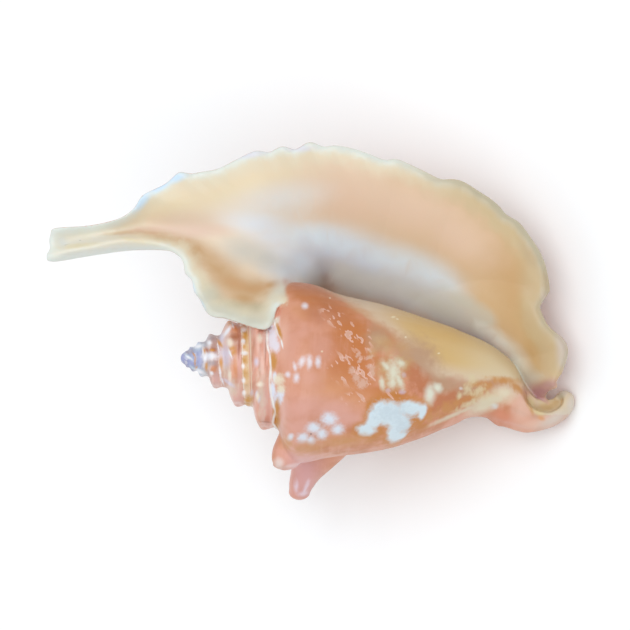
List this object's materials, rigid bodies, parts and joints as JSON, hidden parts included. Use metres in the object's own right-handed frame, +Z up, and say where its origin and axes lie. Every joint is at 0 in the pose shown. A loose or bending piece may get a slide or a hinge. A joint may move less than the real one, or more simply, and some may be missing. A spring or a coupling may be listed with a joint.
{
  "type": "rooster conch shell",
  "caption": "Large sea snail shell lying on the knobs of its back, opening up, with a flared scalloped lip, a long tail and a hooked canal.",
  "frame": {"origin": "on the ground, under the middle of the shell's bounding box", "axes": "+X from the spire and tail towards the canal, +Y towards the flared lip, +Z up from the ground it lies on"},
  "size_m": [0.1448, 0.1078, 0.0753],
  "materials": {
    "shell": "glossy natural shell, salmon to cream"
  },
  "bodies": {
    "root": {"shell": "shell"}
  },
  "joints": []
}
